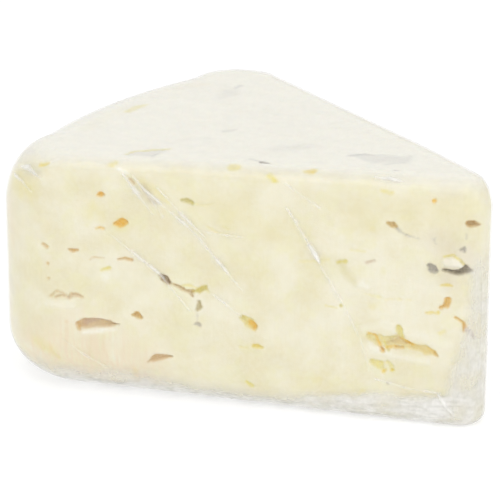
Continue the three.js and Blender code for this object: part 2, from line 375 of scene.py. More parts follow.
# depth sinks it and a negative one raises it, ragged roughens its edge, soft blurs its tints, all in mm.
frontMarks = [
    # eyes towards the rim
    mark((93.2, 57.2, 0.5), (92.3, 57.4, 1.6), (91.3, 57.3, 0.5), depth=0.9, ragged=0.3, amber=1),
    mark((88.6, 49.7, 0.8), (86.9, 50, 2.4), (85.9, 50.1, 1.6), depth=1.2, ragged=0.35, amber=1),
    mark((93.6, 48, 0.5), (92.6, 48.3, 0.7), (91.5, 48.1, 0.5), depth=0.5, amber=0.6),
    mark((108.4, 42.5, 0.6), (107, 41.9, 0.9), depth=0.5, tan=0.7),
    mark((100.8, 41.8, 0.5), (99.8, 41.5, 1), (98.5, 41.8, 0.5), depth=0.7, tan=1),
    mark((106.9, 37.4, 0.9), depth=0.4, tan=0.6),
    mark((106.8, 33.3, 0.8), depth=0.3, tan=0.5),
    mark((95.2, 39.4, 0.4), (94.6, 40.1, 0.6), (91.6, 40.1, 0.2), depth=0.4, tan=0.5),
    mark((87.9, 40, 0.4), (86, 40.4, 0.8), (84.3, 40.1, 0.8), depth=0.6, tan=0.9),
    mark((92.3, 36.8, 0.5), (90.2, 37.5, 0.9), depth=0.3, straw=0.8),
    mark((106.2, 28.5, 0.5), (104.6, 29.9, 0.6), (102.8, 29.8, 0.4), (101.4, 28.5, 0.5), depth=0.5,
         ragged=0.4, tan=0.4),
    mark((104.8, 28.4, 0.4), (103, 29, 0.5), (101.2, 28.4, 0.8), (100.3, 29.4, 0.9), (97.5, 29, 0.4),
         depth=0.6, ragged=0.4, tan=0.5, blush=0.3),
    mark((107, 26.2, 2), (100.4, 26.6, 2.4), depth=-0.1, soft=0.6, chalk=0.45),
    # the big slit
    mark((98.3, 21.1, 2), (97, 21.5, 2.8), (94.5, 21.8, 2.2), (91, 21.8, 1.5), (87.9, 22, 0.3), depth=1.6,
         blush=0.1, tan=0.5),
    mark((97, 21.6, 1.8), (95.4, 22.2, 1.8), (93, 22.7, 0.8), (90, 22.5, 0.4), depth=1.6, soft=0.3,
         blush=0.8),
    mark((99, 21.4, 1), (98.6, 19.9, 0.8), depth=0.8, tan=0.9),
    # painted highlight on the slit's raised lower lip
    mark((97.3, 19, 1), (93, 19.8, 1.2), (89, 20.5, 0.6), depth=-0.12, soft=0.5, chalk=0.8),
    mark((84.2, 24.8, 0.6), (83.1, 25, 1.6), (81.9, 24.2, 0.7), depth=1, ragged=0.3, tan=0.9, straw=0.3),
    mark((80.3, 11.9, 0.4), (78.2, 13.3, 1.8), (76.5, 13.8, 1.5), (73.8, 14.1, 0.3), depth=1.1, ragged=0.25,
         tan=0.8, blush=0.25),
    mark((84.1, 8.8, 1.5), (84, 4.6, 1.2), soft=0.5, ragged=0.5, tan=0.2, straw=0.25),
    mark((81.2, 7.3, 1.4), (80.4, 4.8, 1.4), soft=0.5, ragged=0.5, tan=0.25),
    # the dark chain across the middle
    mark((76.8, 36.5, 0.8), (75.7, 35.6, 1.7), (74.6, 34.6, 0.8), depth=1.2, ragged=0.3, umber=1, tan=0.8),
    mark((73.9, 34.4, 0.4), (71.8, 33.5, 0.6), (70, 32.7, 0.8), (68.6, 32.4, 1), depth=0.7, ragged=0.3,
         tan=0.6, umber=0.3),
    mark((68.9, 32.3, 0.7), (68.4, 31.3, 0.4), depth=0.5, tan=0.6, umber=0.5),
    mark((68, 32.6, 0.7), (66.6, 32.9, 1.4), (65.2, 33.7, 1.1), (64, 32.9, 0.7), depth=0.7, ragged=0.5,
         straw=0.9, umber=0.25),
    mark((71.4, 33.8, 0.4), (69.4, 34.2, 0.6), (67, 33.6, 0.4), depth=0.2, ragged=0.4, straw=0.5),
    mark((66.8, 29.9, 0.9), (66.6, 28.6, 1.3), (67.4, 27.8, 0.8), depth=0.5, ragged=0.6, umber=0.55,
         slate=0.4, straw=0.5),
    mark((66.8, 28.6, 4), soft=0.8, chalk=0.3),
    mark((67.2, 27.4, 0.3), (67.2, 24.7, 0.3), depth=0.15, ragged=0.3, slate=0.4),
    mark((67.9, 23.5, 0.4), (67.2, 23.9, 0.8), (66.5, 23.4, 0.4), depth=0.4, ragged=0.4, umber=0.3,
         slate=0.6),
    mark((71.1, 57.2, 0.5), (69.8, 57.3, 1.3), (68.3, 56.6, 0.8), depth=0.7, ragged=0.2, straw=0.8,
         mould=0.25),
    mark((68.2, 56.4, 0.5), (65.5, 56.2, 0.6), (62.2, 57, 0.3), depth=0.2, straw=0.35),
    mark((84.4, 61.8, 0.9), (83.4, 60.8, 0.6), depth=0.3, tan=0.6, blush=0.2),
    mark((80.7, 60.4, 1.5), (79.3, 57, 1.8), (77.5, 55.8, 1), soft=0.7, ragged=0.5, blush=0.18, mould=0.14),
    mark((64.4, 50.6, 0.5), (61.5, 48.9, 0.6), (57.2, 48.4, 0.4), depth=0.2, straw=0.35),
    mark((60.4, 50.9, 0.4), (59, 50.2, 0.4), depth=0.2, straw=0.35),
    mark((56, 18.2, 0.4), (54.2, 18.1, 0.4), depth=0.2, straw=0.4),
    mark((55.5, 26.4, 1), (53.9, 25.2, 2.4), (52.4, 24, 1.8), depth=1, ragged=0.5, soft=0.25, straw=0.7),
    mark((53.5, 25, 1.2), (52.2, 23.9, 1.7), depth=1.3, ragged=0.4, soft=0.2, amber=0.85),
    mark((52.5, 18.8, 0.8), (51.2, 18.8, 1.1), (50.2, 18.5, 0.7), depth=0.5, ragged=0.25, straw=1,
         amber=0.3),
    mark((54.2, 8.4, 0.6), (52.8, 7.2, 1), depth=0.3, straw=0.9),
    mark((48.6, 65.2, 1.8), (47.2, 64.2, 1.4), soft=0.3, ragged=0.4, straw=0.85),
    # towards the tip
    mark((7.1, 61.5, 1), depth=0.5, amber=1),
    mark((18.3, 54.8, 0.5), (17.3, 54.5, 1.3), (16.3, 54, 0.7), depth=0.4, ragged=0.3, tan=1, straw=0.7,
         umber=0.4),
    mark((16.2, 53.6, 0.5), (14.9, 52.5, 0.45), (13.2, 51.7, 0.4), (10.8, 51.2, 0.2), depth=0.3, ragged=0.3,
         slate=0.6, mould=0.15),
    mark((-1.6, 55.9, 1.4), (-2.6, 55.8, 1.7), (-4.8, 55.3, 0.6), depth=1.2, ragged=0.3, tan=1, umber=0.35),
    mark((6.9, 51.1, 0.9), (6.3, 49.8, 0.7), depth=0.2, ragged=0.5, slate=0.55),
    mark((0.1, 48.9, 0.7), (-0.7, 49.3, 1), (-0.6, 48.4, 0.5), depth=0.4, ragged=0.3, mould=0.35,
         slate=0.5),
    mark((-1.2, 53.1, 0.5), (-1.2, 52, 0.4), depth=0.2, ragged=0.3, slate=0.5),
    mark((6, 51, 6), (-1, 47, 7), (3, 41, 5), soft=2.5, blush=0.12, slate=0.08),
    mark((7.8, 44.3, 0.9), (6.9, 43.5, 1.6), (6.1, 42.8, 1.2), depth=0.8, ragged=0.7, mould=0.5,
         slate=0.65),
    mark((4.4, 43.3, 0.3), (2.5, 42.8, 0.8), (0.3, 43.1, 1.4), (-1.2, 43.6, 2.2), (-3, 43.2, 0.8),
         depth=1.8, ragged=0.35, mould=0.65, umber=0.45),
    mark((3.6, 45.4, 2.2), (1.6, 45.7, 3), (0.1, 44.9, 1.8), depth=-0.35, chalk=0.6),
    mark((4.2, 46.8, 0.4), (2.1, 47.4, 0.5), (0.4, 46.3, 0.5), (-0.9, 45, 0.4), depth=0.3, straw=0.9),
    mark((4.7, 39.1, 0.4), (3.4, 39.3, 0.6), (2.2, 39.1, 0.4), depth=0.3, straw=0.9, amber=0.3),
    mark((4.6, 33.1, 0.8), (3.4, 33.8, 1.5), (2.9, 35.4, 1.6), depth=1.1, ragged=0.4, tan=0.4, amber=0.75),
    mark((8.3, 31.4, 0.9), (5.4, 31.6, 0.7), depth=0.25, ragged=0.4, straw=0.7, amber=0.2),
    mark((1, 30.7, 0.4), (-1.1, 29.4, 0.5), (-1.6, 28.2, 1.1), (-1.4, 27.2, 0.5), depth=0.7, tan=0.5,
         amber=1),
    mark((-2.1, 27.4, 1), (-4.9, 24.9, 1), depth=0.25, ragged=0.6, slate=0.5, blush=0.4),
    # torn places
    mark((22.5, 24, 1), (20, 22.8, 3), (17.2, 22.6, 2.8), (14.8, 23.4, 3), (12.8, 22.4, 1.6), depth=1,
         ragged=0.6, crumble=0.7, straw=0.4),
    mark((11.6, 22, 1.6), (8.5, 21.4, 2), (6, 20.5, 1.4), depth=0.7, ragged=0.5, straw=0.5, tan=0.35),
    mark((14.4, 24.2, 1.8), (15, 27, 1), depth=0.8, ragged=0.4, straw=0.75),
    mark((17.6, 22.2, 0.8), (15, 23, 2.2), (13, 22.4, 0.8), depth=1.3, ragged=0.3, soft=0.3, blush=0.2,
         tan=0.35),
    mark((14.2, 23.6, 0.5), (12.8, 22.8, 1), (11.4, 22.2, 0.5), depth=1.4, ragged=0.25, amber=0.9),
    mark((18, 21, 0.4), (16, 21.4, 0.7), (13.8, 21.4, 0.4), depth=1.1, ragged=0.3, amber=0.7),
    mark((7.4, 21.4, 0.5), (6, 20.4, 0.9), (5, 19.6, 0.3), depth=0.9, ragged=0.25, amber=0.5, tan=0.5),
    mark((22.6, 24.6, 0.6), (20.9, 24.2, 0.6), depth=0.8, ragged=0.25, amber=0.7),
    mark((20.9, 24.2, 0.5), (20, 22, 0.6), (18.8, 20, 0.8), depth=1.2, ragged=0.25, amber=0.75),
    mark((19.4, 23.8, 0.4), (18.2, 21.4, 0.5), (17.4, 20.4, 0.3), depth=1, ragged=0.25, straw=0.9),
    mark((24, 26, 2), (19, 27, 2.4), (9, 25, 3), (3, 23, 3), depth=-0.08, soft=1.2, chalk=0.45),
    mark((22, 21, 2), (16, 19, 1.4), (8, 18, 2), depth=-0.1, soft=0.8, chalk=0.6),
    mark((21.5, 17, 1.2), (19.6, 16.2, 2.2), (18.6, 15, 1.4), depth=0.6, ragged=0.6, crumble=0.4,
         straw=0.6),
    mark((17.6, 17.2, 1), (16.4, 16, 1.2), depth=0.4, ragged=0.5, straw=0.5),
    mark((18.4, 14.5, 1), depth=0.7, ragged=0.3, amber=0.7, straw=1),
    mark((16.4, 15.1, 0.9), depth=0.5, ragged=0.3, amber=0.3, straw=1),
    mark((17.5, 11.1, 0.4), depth=0.3, mould=1),
    mark((30.9, 43.3, 0.8), (29, 43.7, 1), depth=0.25, ragged=0.3, straw=0.8, mould=0.15),
    mark((23.5, 43.7, 0.7), (21.5, 44.5, 0.5), depth=0.3, blush=0.6),
    mark((29.9, 43, 1.5), (28.5, 40.2, 1.8), (26.4, 38.5, 1.6), soft=0.8, ragged=0.5, straw=0.3,
         slate=0.25),
    mark((25.8, 38.1, 2), (23, 37.4, 2), depth=-0.1, soft=0.4, chalk=0.7),
    mark((33.9, 31.4, 0.4), (30.9, 31, 0.3), depth=0.25, straw=0.5),
    mark((29.8, 31.7, 0.8), depth=0.3, straw=1, mould=0.3),
    mark((24.2, 35.5, 0.5), (18.7, 34.4, 0.5), (11.5, 34.7, 0.4), depth=0.15, ragged=0.5, straw=0.3),
    mark((27.8, 46.9, 0.4), (24, 46.7, 0.4), depth=0.15, straw=0.35),
    mark((40.5, 43, 0.4), (36, 43.3, 0.5), (33, 44, 0.3), depth=0.15, straw=0.35),
    mark((19.8, 63.2, 1.3), (17.7, 62.8, 1.2), soft=0.4, ragged=0.3, straw=0.6),
    # faint spots
    mark((81.5, 61.5, 1.2), (79.5, 59.8, 2.4), (77.5, 58.5, 1.4), soft=0.8, ragged=0.6, straw=0.3),
    mark((79.2, 56.8, 0.9), (78.2, 56, 0.9), soft=0.3, ragged=0.5, blush=0.3, slate=0.15),
    mark((116.5, 59.5, 3), (115.5, 55, 3), soft=1.5, ragged=0.6, straw=0.3),
    mark((95, 51.8, 3), (92.6, 53, 2), soft=1, ragged=0.8, straw=0.2),
    mark((108.9, 13.1, 1.8), soft=0.6, ragged=0.6, straw=0.4, slate=0.1),
    mark((106, 12, 0.9), (104.8, 10.6, 1), soft=0.3, ragged=0.6, straw=0.4, slate=0.1),
    mark((102, 21.6, 0.7), soft=0.3, ragged=0.5, tan=0.4),
    mark((102.2, 20, 0.4), (102.3, 15, 0.5), soft=0.3, ragged=0.4, tan=0.14),
    mark((98.6, 17, 0.4), (98.9, 13, 0.6), soft=0.3, ragged=0.4, tan=0.12),
    mark((95.6, 18, 0.4), (96, 12, 0.5), soft=0.3, ragged=0.4, tan=0.12),
    mark((92, 18.5, 0.4), (92, 14, 0.5), soft=0.3, ragged=0.4, tan=0.1),
    mark((1, 18.1, 1), soft=0.4, ragged=0.6, straw=0.4),
    mark((4.6, 26.1, 0.7), (3.8, 26.8, 0.8), soft=0.3, ragged=0.5, straw=0.45),
    mark((24.2, 8.4, 1.4), soft=0.4, ragged=0.6, straw=0.4),
    mark((35.8, 10.9, 2), soft=0.8, ragged=0.6, straw=0.2),
    mark((22.1, 53.1, 1.4), soft=0.5, ragged=0.6, straw=0.3),
    mark((19.3, 41.8, 1.4), soft=0.5, ragged=0.6, straw=0.2),
    mark((22, 32.1, 1.6), soft=0.5, ragged=0.6, straw=0.2),
    # over the top edge
    mark((58.4, 66.5, 2.4), (57, 66.6, 2), soft=0.4, ragged=0.5, straw=0.7),
    mark((39.4, 66.6, 1.4), (37.8, 66.7, 1.6), soft=0.2, ragged=0.4, straw=1, amber=0.3),
    mark((89.6, 65.4, 1.4), (88.4, 66, 1.2), soft=0.3, ragged=0.4, straw=0.7),
    mark((87.4, 64.6, 1.4), (85.4, 63.7, 1.2), depth=-0.1, soft=0.4, chalk=1),
    mark((109, 63.8, 1.4), (106.6, 64.6, 1), depth=0.2, soft=0.2, ragged=0.4, straw=0.9, amber=0.2),
    # painted glint at the top edge, beside the yellow spot
    mark((106, 64.9, 0.6), (103.6, 65.8, 0.7), depth=-0.1, chalk=1),
    mark((113.5, 61, 2.2), (109, 62.2, 1.6), soft=0.8, slate=0.18),
    # broad washes
    mark((118, 58, 6), (112, 57, 5), soft=2.5, straw=0.25),
    mark((123.7, 29, 3), (122.5, 25.5, 2), soft=1.2, mould=0.12),
    mark((111.4, 14.7, 3), (106.6, 12.9, 3), soft=1.2, straw=0.3),
    mark((112, 12, 12), (99, 13, 20), (84, 9, 14), soft=6, peach=0.9),
    mark((72, 58, 6), (58, 55, 8), (46, 49, 6), soft=4, straw=0.14),
    mark((26, 55, 6), (12, 58, 8), (0, 60, 6), soft=4, straw=0.12),
    mark((78, 59.5, 2), (74.5, 56.5, 1.6), soft=0.9, ragged=0.4, straw=0.4),
    mark((91.3, 35, 2), soft=0.7, chalk=0.7),
    mark((121, 40, 4), (122, 50, 5), soft=3, peach=0.5),
    mark((94, 54, 3), (92, 51, 2.4), soft=1.2, ragged=0.6, straw=0.28),
    mark((87, 49.5, 4), soft=1, straw=0.3),
    mark((30, 30, 8), (18, 40, 12), (8, 33, 10), soft=6, chalk=0.35),
]

topMarks = [
    mark((27.5, -3, 3), (33, -2.2, 7), (38.5, 1, 5), soft=0.8, ragged=0.8, slate=0.3),
    mark((25.9, -4.2, 0.6), (28.3, -1, 1.4), (31, -0.2, 0.6), soft=0.2, ragged=0.4, slate=0.5, mould=0.12),
    mark((36.9, -5, 0.8), (40.2, -0.6, 1.2), (38.9, 4.5, 0.8), soft=0.4, ragged=0.4, slate=0.4),
    # painted highlight in the middle of the grey patch, raised a little
    mark((32, 0.4, 1.2), (36, 2.4, 1), depth=-0.1, soft=0.3, chalk=0.9),
    mark((-19, -38, 4), (-17, -34, 6), (-15.5, -30, 3), soft=0.7, ragged=0.6, slate=0.3),
    mark((-18.8, -44, 0.8), (-20.6, -38, 0.7), (-21, -33.5, 0.8), (-17.2, -29.2, 1.4), (-14.6, -26.2, 0.8),
         depth=0.2, ragged=0.5, straw=0.6, mould=0.1),
    mark((-15.4, -27.5, 0.5), (-14.7, -32.5, 0.6), (-15.6, -36.5, 0.5), depth=0.15, ragged=0.4, slate=0.5),
    mark((6.9, -21.1, 0.5), (10.8, -21.4, 0.8), soft=0.2, ragged=0.3, slate=0.6),
    mark((10.8, -21.4, 1.2), (12.4, -22.1, 2), (13.8, -23, 0.8), depth=0.8, mould=0.9, slate=0.6),
    mark((-43.3, -7.2, 2), (-43.7, -3.2, 2.6), (-43.1, 0.9, 1.4), soft=0.5, ragged=0.6, straw=0.55),
    mark((-30, 18.5, 3), (-31.7, 24.6, 5), soft=1.2, ragged=1, slate=0.22),
    mark((-32.2, 27.5, 1), (-32.6, 30.5, 1.4), soft=0.2, ragged=0.4, slate=0.45),
    mark((-11.7, -6.2, 1.6), (-10.5, -3, 1.6), soft=0.4, ragged=0.6, slate=0.35),
    mark((7.5, -10.6, 4), (10.5, -7.6, 5), (13.7, -2.5, 3), soft=1.4, ragged=1, slate=0.18),
    mark((-16.5, -18.7, 2.5), (-12.3, -13.7, 2.5), soft=1.2, slate=0.12),
    mark((-46.8, 18.5, 3), (-41.7, 25.4, 3), soft=2, peach=0.5),
    mark((-44, -25, 5), (-46, -6, 5), soft=3, straw=0.08),
]


def hiddenMarks():  # the far cut face is the same cheese: eyes, slits and mould in the same mix
    random = np.random.default_rng(23)
    found = []
    for _ in range(cheese["hiddenHoles"]):
        fromTip, height = random.uniform(4, 118), random.uniform(12, 60)
        length, slope, size = random.uniform(0.8, 5), random.uniform(-0.5, 0.5), random.uniform(0.8, 2.8)
        middle = (fromTip + length * random.uniform(0.3, 0.7), height + length * slope * 0.3)
        end = (fromTip + length, height + length * slope, size * 0.2)
        path = [(fromTip, height, size * 0.35), (*middle, size), end]
        warm = random.choice(["amber", "tan", "straw"])
        depth, ragged = size * random.uniform(0.5, 0.9), random.uniform(0.1, 0.3)
        strengths = {warm: random.uniform(0.6, 1), "umber": random.uniform(0, 0.35)}
        found.append(mark(*path, depth=depth, ragged=ragged, **strengths))
    for _ in range(cheese["hiddenStains"]):
        fromTip, height = random.uniform(6, 108), random.uniform(14, 58)
        path = [(fromTip, height, random.uniform(0.5, 1.4))]
        for _ in range(random.integers(1, 4)):
            path.append((path[-1][0] + random.uniform(2, 5), path[-1][1] + random.uniform(-1.5, 2.5),
                         random.uniform(0.4, 1.8)))
        depth = random.uniform(0.3, 1.4)
        found.append(mark(*path, depth=depth, ragged=0.4, mould=random.uniform(0.4, 0.9)))
    found.append(mark((30, 22, 2), (38, 25, 4), (46, 22.5, 2.4), depth=1.2, ragged=0.8, crumble=0.8,
                      straw=0.7))
    found.append(mark((20, 40, 12), (60, 34, 16), (90, 20, 14), soft=7, peach=0.8))
    return found


tints = ("peach", "chalk", "slate", "straw", "amber", "tan", "blush", "umber", "mould")


def toSkin(marks, face):  # from a cut face's own measures to mm round the wedge and mm up its skin
    found = []
    for each in marks:
        path = np.array(each["path"], float)
        if face == "front":
            aside, down = smooth(0, 20, path[:, 0]), np.full(len(path), -0.6)
            path[:, :2] += np.column_stack([aside, down]) * cheese["shift"]
        along = path[:, 0] if face == "front" else starts["tip"] - path[:, 0]
        up = upOf(along, path[:, 1])
        along = along + girth if face == "front" else along
        found.append({**each, "path": np.column_stack([along, up, path[:, 2]])})
    return found


sideMarks = toSkin(frontMarks, "front") + toSkin(hiddenMarks(), "back")


def nearestMark(marks):  # how far each place is from a mark that needs fine cells
    def away(points):
        nearest = np.full(len(points), 50.0)
        for each in marks:
            distance, _, width = alongPath(points, each["path"])
            carved = abs(each.get("depth", 0)) > cheese["shallow"]
            margin = 0.4 if carved else each.get("soft", cheese["soft"]) - 1.2
            nearest = np.minimum(nearest, distance - width / 2 - margin)
        return nearest
    return away


def plain(points):  # nothing here needs fine cells
    return np.full(len(points), 50.0)


def carve(patch, marks):  # sinks each mark into the skin and lays its tints
    count = len(patch["points"])
    for key in tints + ("hollowShade",):
        patch[key] = np.zeros(count)
    sink = np.zeros(count)
    for number, each in enumerate(marks):
        path = np.array(each["path"], float)
        depth = each.get("depth", 0)
        ragged, soft = each.get("ragged", cheese["ragged"]), each.get("soft", cheese["soft"])
        reach = path[:, 2].max() / 2 + ragged * 2 + soft + 1.5
        low, high = path[:, :2].min(axis=0) - reach, path[:, :2].max(axis=0) + reach
        near = np.flatnonzero(((patch["flat"] > low) & (patch["flat"] < high)).all(axis=1))
        if not len(near):
            continue
        here = patch["points"][near]
        distance, _, width = alongPath(patch["flat"][near], path)
        rough = clouds(here, 0.8 + path[:, 2].max() * 0.3, 40 + number)
        inward = width / 2 - distance - ragged * rough * 1.3
        wall = 0.25 + 0.16 * abs(depth)
        hole = smooth(-0.2, wall, inward)
        floor = depth * hole * (1 + 0.25 * clouds(here, 1.2, 90 + number))
        if "crumble" in each:
            ridges = 1 - np.abs(clouds(here, 2.2, 70 + number, 3)) * 2.4
            floor += each["crumble"] * smooth(-0.4, 0.9, inward) * (0.3 - ridges)
        sink[near] = np.where(np.abs(floor) > np.abs(sink[near]), floor, sink[near])
        if depth > cheese["shallow"]:
            # where the holes are deep, for their painted shade and warm bounce light
            patch["hollowShade"][near] = np.maximum(patch["hollowShade"][near], hole * min(1, depth))
        for key in tints:
            if key in each:
                laid = each[key] * smooth(-0.3 - soft, 0.25 + soft, inward)
                patch[key][near] = np.maximum(patch[key][near], laid)
    broad, fine = cheese["swell"]
    swell = broad * clouds(patch["points"], 6, 5) + fine * clouds(patch["points"], 1.7, 9)
    patch["points"] = patch["points"] + patch["normals"] * (swell - sink)[:, None]


def onSide(detail, sizes, edge, depth, seed):
    (flat, faces), along = sidePatch(detail, sizes, edge, seed)
    step = stepOf(flat[:, 0], flat[:, 1])
    points, normals = skinAt(flat[:, 0], step, depth)
    return {"flat": flat, "faces": faces, "points": points, "normals": normals, "step": step}, along


def onCap(level, along, detail, sizes, depth, seed, hole=0):
    loop, _ = skinAt(along[:-1], np.full(len(along) - 1, 3.0 if level == "top" else 0.0), depth)
    flat, faces = capPatch(loop[:, :2], detail, sizes, seed, hole)
    height = wedge["height"] - depth if level == "top" else depth
    points = np.column_stack([flat, np.full(len(flat), height)])
    normals = np.tile([0.0, 0.0, 1.0 if level == "top" else -1.0], (len(flat), 1))
    step = np.full(len(flat), 3.0)
    return {"flat": flat, "faces": faces, "points": points, "normals": normals, "step": step}


def makeCheese():
    sizes = cheese["cells"]
    side, along = onSide(nearestMark(sideMarks), sizes, cheese["edge"], cheese["depth"], 1)
    top = onCap("top", along, nearestMark(topMarks), sizes, cheese["depth"], 2)
    base = onCap("base", along, plain, (cheese["capCells"],), cheese["depth"], 3)
    base["step"][:] = 0
    side["rind"] = smooth(0.45, 0.95, outlineAt(side["flat"][:, 0])[2])
    for patch, marks in ((side, sideMarks), (top, topMarks), (base, [])):
        carve(patch, marks)
        lower = 0.14 * smooth(30, -30, patch["points"][:, 0])  # the painted light on the top reaches lower near the rim
        patch["upper"] = smooth(*cheese["litTopSteps"], patch["step"] + lower)
        patch["rind"] = patch.get("rind", np.zeros(len(patch["flat"]))) * (1 - patch["upper"])
    piece = meshFrom("wedge_paste", [side, top, base], tints + ("hollowShade", "upper", "rind"))
    print("cheese:", len(piece.data.polygons), "triangles")
    return piece


paste = makeCheese()

film = {
    "depth": 0.16,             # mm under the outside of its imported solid
    "thickness": 0.05,
    "cells": (0.34, 0.75, 1.9),
    "bareShare": 0.35,         # the opening among the gathers underneath, as a share of the outline
    "flat": (220, 210),        # the sheet as cut
    "veil": 0.025,             # how milky it is where it lies smooth
    "foldHaze": 0.4,
    "farCreases": 9,
    "gathers": 34,
    "foldPoints": 12, "foldLift": 0.55,  # the share of a crease's rise that its doubled fold sits at
    "foldStep": 0.5, "foldHalfWidth": 0.13, "foldWander": 0.5, "foldSeed": 3.0,
    "topCells": 2.2, "baseCells": 1.6,
    "sag": 0.05,               # mm of slow unevenness
    "hem": 8.4, "hemDrop": 3.8,      # mm high at the tip, and how it changes from there
    "hemCorner": 2.5, "hemRim": 2.6,
    "hemHaze": 0.34, "streakHaze": 0.2, "footHaze": 0.3,
    "streakLift": 0.06, "pleatLift": 0.13,
    # the second value here is a painted sheen on the top edge; the third whitens crease crests, partly
    # stress whitening, partly painted glints
    "tipHaze": 0.34, "topEdgeSheen": 0.14, "crestHazeAndGlint": 0.8, "slackHaze": 0.12,
}


def crease(*path, rise, whiteAndGlint):  # path as a mark's, rise in mm, and the last is how white the crest is painted: partly stress whitening, partly a painted glint
    return {"path": path, "rise": rise, "whiteAndGlint": whiteAndGlint}


# a crease's white crest is partly stress whitening and partly a painted glint
creases = [
    # long pulls across the cut face
    crease((44, 57.2, 0.3), (40.6, 51.8, 0.8), (36.7, 45.4, 0.8), (35.4, 43, 0.3), rise=0.32, whiteAndGlint=0.8),
    crease((36, 43.6, 0.3), (33, 38.6, 0.5), (29.3, 32.4, 0.4), (24.4, 22.6, 0.4), (22.1, 14.5, 0.2),
           rise=0.14, whiteAndGlint=0.2),
    crease((45, 64, 0.4), (40, 60.6, 0.7), (35.6, 57.7, 0.3), rise=0.2, whiteAndGlint=0.4),
    crease((86.2, 63.4, 0.4), (82.3, 58.2, 0.8), (78.5, 53.2, 0.4), rise=0.28, whiteAndGlint=0.6),
    crease((84.2, 63.8, 0.3), (79.8, 58.4, 0.6), (75.8, 52.6, 0.3), rise=0.2, whiteAndGlint=0.4),
    crease((81, 60, 0.3), (74.4, 54.4, 0.7), (68, 49.3, 0.7), (61.6, 41.6, 0.6), (55.2, 34, 0.3), rise=0.28,
           whiteAndGlint=0.55),
    crease((77.4, 60.4, 0.3), (70.4, 53, 0.6), (64.8, 47.6, 0.3), rise=0.2, whiteAndGlint=0.45),
    crease((89.8, 47, 0.3), (83, 41.8, 0.6), (76.8, 37, 0.5), (69, 27.4, 0.3), rise=0.22, whiteAndGlint=0.45),
    crease((63, 32.5, 0.3), (59.4, 29.8, 0.6), (55.6, 27, 0.3), rise=0.22, whiteAndGlint=0.45),
    crease((66.3, 49.5, 0.3), (60, 48.8, 0.5), (54.2, 48.4, 0.3), rise=0.14, whiteAndGlint=0.3),
    # rim corner
    crease((117.5, 61.5, 0.5), (113, 62.4, 0.9), (108, 60.6, 0.4), rise=0.3, whiteAndGlint=0.8),
    crease((119.5, 59, 0.4), (114.6, 58.6, 0.7), (111, 56.4, 0.3), rise=0.22, whiteAndGlint=0.5),
    crease((103, 17, 0.3), (97.6, 13, 0.5), (90, 8.6, 0.3), rise=0.16, whiteAndGlint=0.25),
    # loose hem
    crease((20.4, 12.4, 0.3), (12, 10.4, 0.6), (4, 9.8, 0.4), rise=0.2, whiteAndGlint=0.4),
    crease((30, 5.8, 0.3), (22.4, 3.6, 0.8), (15, 1.6, 0.4), rise=0.3, whiteAndGlint=0.7),
    crease((14, 7, 0.4), (7.8, 5.6, 0.9), (2.4, 3, 0.5), rise=0.35, whiteAndGlint=0.7),
    crease((4.6, 9.4, 0.4), (2.6, 6.4, 1.1), (0.4, 4, 0.6), rise=0.45, whiteAndGlint=1),
    crease((63.4, 4.6, 0.3), (61, 3.2, 0.8), (58.6, 1.8, 0.3), rise=0.3, whiteAndGlint=0.9),
    # tip
    crease((-2, 9, 0.4), (-3.2, 18, 0.7), (-2.6, 30, 0.4), rise=0.26, whiteAndGlint=0.45),
    crease((-5.4, 12, 0.4), (-6, 28, 0.6), (-5.2, 47, 0.3), rise=0.22, whiteAndGlint=0.35),
    crease((0.8, 6, 0.4), (0, 14, 0.6), (-0.8, 24, 0.3), rise=0.26, whiteAndGlint=0.5),
    # top edge, where the crease's white crest is a painted glint
    crease((22, 66.2, 0.4), (18.4, 66, 0.9), (14.6, 65.6, 0.4), rise=0.22, whiteAndGlint=0.8),
]


def farCreases():  # the far cut face, the rim and the tip get the same kind of pulls
    random = np.random.default_rng(41)
    found = []
    for _ in range(film["farCreases"]):
        fromTip, height = random.uniform(8, 128), random.uniform(24, 62)
        length, slope = random.uniform(8, 30), random.uniform(-1.6, -0.7)
        bend = random.uniform(-2, 2)
        width = random.uniform(0.4, 0.9)
        middle = (fromTip + length * 0.3, height + length * slope * 0.35 + bend, width)
        end = (fromTip + length * 0.55, max(4, height + length * slope * 0.8), 0.3)
        rise, whiteAndGlint = random.uniform(0.15, 0.32), random.uniform(0.3, 0.8)
        found.append(crease((fromTip, height, 0.3), middle, end, rise=rise, whiteAndGlint=whiteAndGlint))
    return found


filmCreases = toSkin(creases, "front") + toSkin(farCreases(), "back")


def bandHeight(flat):  # how high the loose, milky hem reaches above the board, and mm from the tip
    along = np.mod(flat[:, 0], girth)
    fromTip = np.where(along < girth / 2, along, starts["tip"] - along)
    fromTip = np.where(along > starts["tip"], np.maximum(fromTip, along - girth), fromTip)
    fall, rise = film["hemDrop"] * smooth(14, 52, fromTip), film["hemCorner"] * smooth(62, 85, fromTip)
    return film["hem"] - fall + rise + film["hemRim"] * outlineAt(along)[2], fromTip


def ridged(u, v, seed):  # sharp-crested wrinkles, 0 to 1
    places = np.column_stack([u, v, np.zeros(len(u))])
    return np.clip(1 - np.abs(clouds(places, 1.0, seed, 3)) * 2.6, 0, 1)


